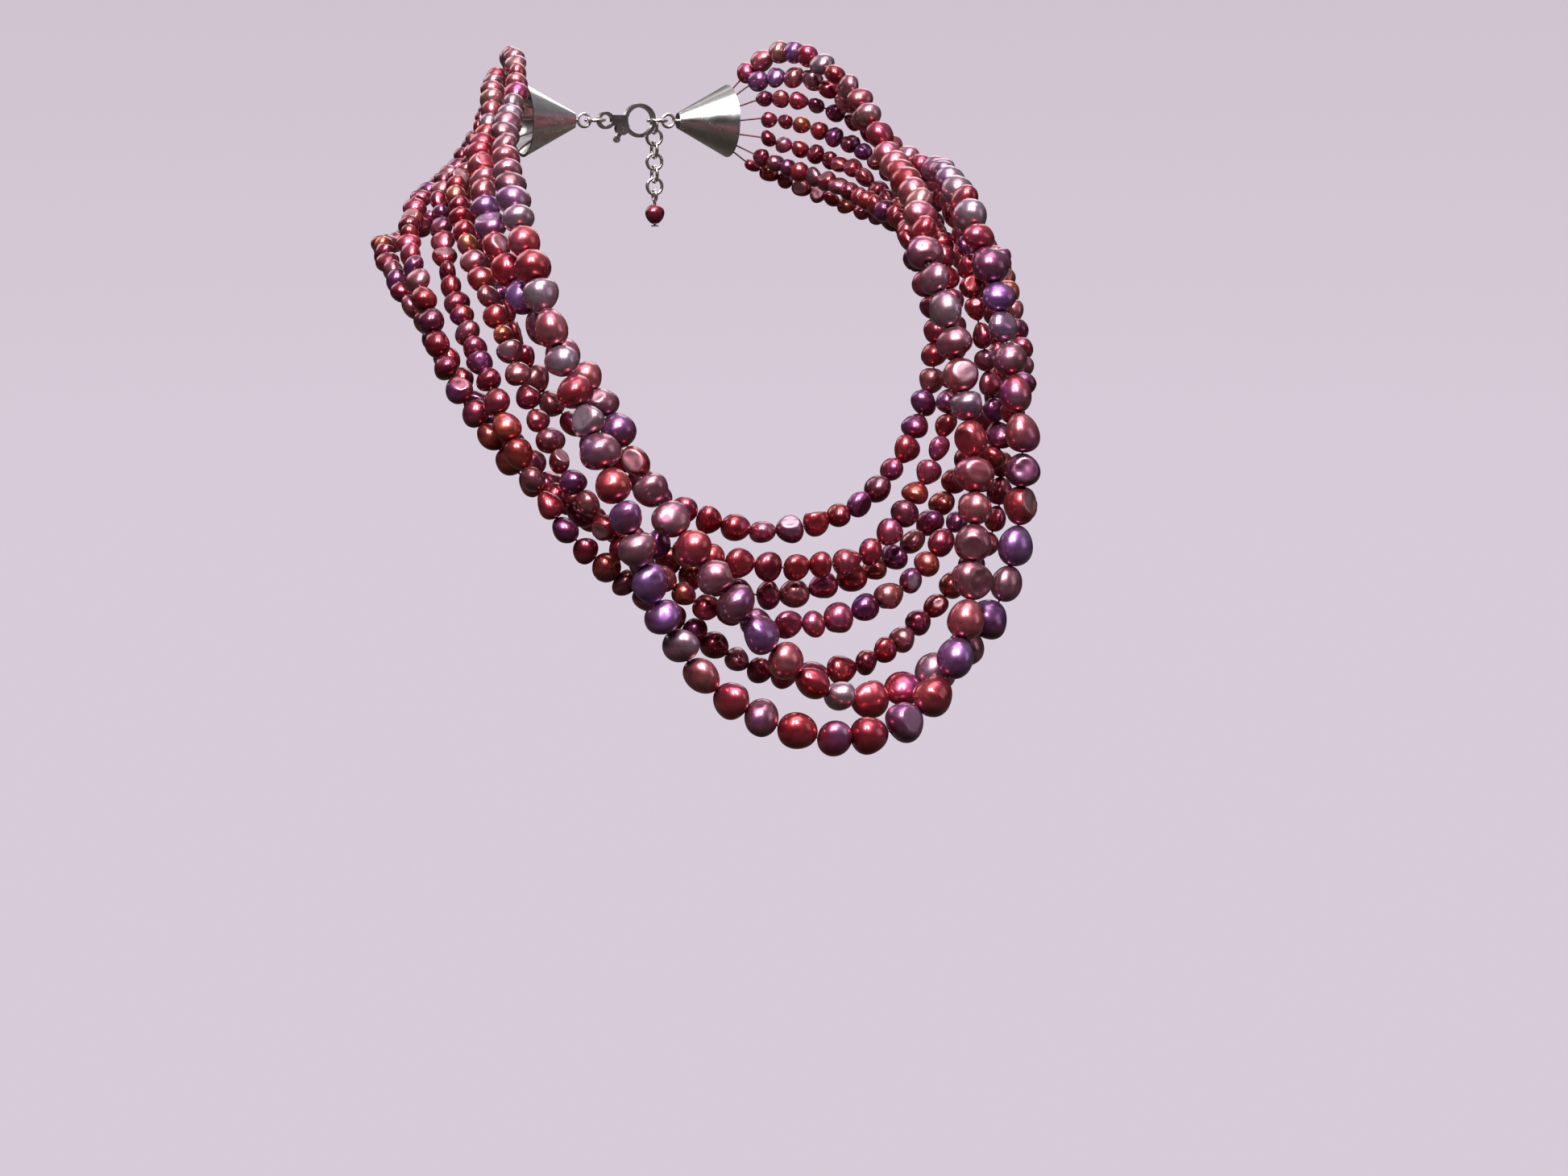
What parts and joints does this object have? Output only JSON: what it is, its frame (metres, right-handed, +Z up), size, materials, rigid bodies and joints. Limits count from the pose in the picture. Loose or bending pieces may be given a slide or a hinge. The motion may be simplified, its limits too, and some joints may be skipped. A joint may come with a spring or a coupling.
{
  "type": "pearl necklace",
  "caption": "Multi-strand necklace of dyed freshwater pearls, large and small, gathered in cones with a lobster claw and extender.",
  "frame": {"origin": "middle of the wearer's neck, level with the shoulder line where the strands cross it", "axes": "+Z up, -Y the wearer's front, +X the wearer's left; the clasp is at the nape on +Y"},
  "size_m": [0.1453, 0.148, 0.1478],
  "materials": {
    "small_pearl": "dyed nacre, wine, red and copper, high metallic lustre",
    "large_pearl": "dyed nacre, rose, mauve and silver, soft satin lustre",
    "thread": "twisted silk",
    "clasp_metal": "silver plated, polished",
    "steel": "drawn wire and strip"
  },
  "bodies": {
    "clasp_frame": {"left_cone": "clasp_metal", "right_cone": "clasp_metal", "left_eye_pin": "clasp_metal", "right_eye_pin": "clasp_metal", "left_ring": "clasp_metal", "right_ring": "clasp_metal"},
    "small_strand_3": {"small_strand_3_pearls": "small_pearl", "small_strand_3_thread": "thread", "small_strand_3_knots": "thread"},
    "small_strand_1": {"small_strand_1_pearls": "small_pearl", "small_strand_1_thread": "thread", "small_strand_1_knots": "thread"},
    "small_strand_2": {"small_strand_2_pearls": "small_pearl", "small_strand_2_thread": "thread", "small_strand_2_knots": "thread"},
    "small_strand_5": {"small_strand_5_pearls": "small_pearl", "small_strand_5_thread": "thread", "small_strand_5_knots": "thread"},
    "small_strand_4": {"small_strand_4_pearls": "small_pearl", "small_strand_4_thread": "thread", "small_strand_4_knots": "thread"},
    "large_strand_inner": {"large_strand_inner_pearls": "large_pearl", "large_strand_inner_thread": "thread", "large_strand_inner_knots": "thread"},
    "large_strand_outer": {"large_strand_outer_pearls": "large_pearl", "large_strand_outer_thread": "thread", "large_strand_outer_knots": "thread"},
    "claw": {"claw_body": "clasp_metal", "claw_lever_pin": "steel", "claw_spring": "steel"},
    "lever": {"claw_lever": "clasp_metal"},
    "link_1": {"extender_link_1": "clasp_metal"},
    "link_2": {"extender_link_2": "clasp_metal"},
    "link_3": {"extender_link_3": "clasp_metal"},
    "link_4": {"extender_link_4": "clasp_metal"},
    "link_5": {"extender_link_5": "clasp_metal"},
    "link_6": {"extender_link_6": "clasp_metal"},
    "end_drop": {"drop_pin": "clasp_metal", "drop_pearl": "small_pearl"}
  },
  "joints": [
    {"name": "small_strand_3_lift", "type": "hinge", "parent": "clasp_frame", "child": "small_strand_3", "pos_m": [0, 0.05, 0.014], "axis": [-1, 0, 0], "range_deg": [0, 12]},
    {"name": "small_strand_1_lift", "type": "hinge", "parent": "small_strand_3", "child": "small_strand_1", "pos_m": [0, 0.05, 0.014], "axis": [-1, 0, 0], "range_deg": [0, 12]},
    {"name": "small_strand_2_lift", "type": "hinge", "parent": "small_strand_1", "child": "small_strand_2", "pos_m": [0, 0.05, 0.014], "axis": [-1, 0, 0], "range_deg": [0, 12]},
    {"name": "small_strand_5_lift", "type": "hinge", "parent": "small_strand_2", "child": "small_strand_5", "pos_m": [0, 0.05, 0.014], "axis": [-1, 0, 0], "range_deg": [0, 12]},
    {"name": "small_strand_4_lift", "type": "hinge", "parent": "small_strand_5", "child": "small_strand_4", "pos_m": [0, 0.05, 0.014], "axis": [-1, 0, 0], "range_deg": [0, 12]},
    {"name": "large_strand_inner_lift", "type": "hinge", "parent": "small_strand_4", "child": "large_strand_inner", "pos_m": [0, 0.05, 0.014], "axis": [-1, 0, 0], "range_deg": [0, 12]},
    {"name": "large_strand_outer_lift", "type": "hinge", "parent": "large_strand_inner", "child": "large_strand_outer", "pos_m": [0, 0.05, 0.014], "axis": [-1, 0, 0], "range_deg": [0, 12]},
    {"name": "claw_turn", "type": "hinge", "parent": "clasp_frame", "child": "claw", "pos_m": [0, 0.05, 0.014], "axis": [1, 0, 0], "range_deg": [-15, 15]},
    {"name": "lever_open", "type": "hinge", "parent": "claw", "child": "lever", "pos_m": [-0.0012, 0.05, 0.0121], "axis": [0, -1, 0], "range_deg": [0, 25], "stiffness_Nm_per_rad": 0.0005},
    {"name": "link_1_swing", "type": "hinge", "parent": "clasp_frame", "child": "link_1", "pos_m": [0.0079, 0.0522, 0.014], "axis": [1, 0, 0], "range_deg": [-10, 20]},
    {"name": "link_2_swing", "type": "hinge", "parent": "link_1", "child": "link_2", "pos_m": [0.0079, 0.0522, 0.01107], "axis": [0, 1, 0], "range_deg": [-20, 20]},
    {"name": "link_3_swing", "type": "hinge", "parent": "link_2", "child": "link_3", "pos_m": [0.0079, 0.0522, 0.00814], "axis": [1, 0, 0], "range_deg": [-10, 20]},
    {"name": "link_4_swing", "type": "hinge", "parent": "link_3", "child": "link_4", "pos_m": [0.0079, 0.0522, 0.00521], "axis": [0, 1, 0], "range_deg": [-20, 20]},
    {"name": "link_5_swing", "type": "hinge", "parent": "link_4", "child": "link_5", "pos_m": [0.0079, 0.0522, 0.00228], "axis": [1, 0, 0], "range_deg": [-10, 20]},
    {"name": "link_6_swing", "type": "hinge", "parent": "link_5", "child": "link_6", "pos_m": [0.0079, 0.0522, -0.00065], "axis": [0, 1, 0], "range_deg": [-20, 20]},
    {"name": "drop_swing", "type": "hinge", "parent": "link_6", "child": "end_drop", "pos_m": [0.0079, 0.0522, -0.00358], "axis": [1, 0, 0], "range_deg": [-10, 20]}
  ]
}
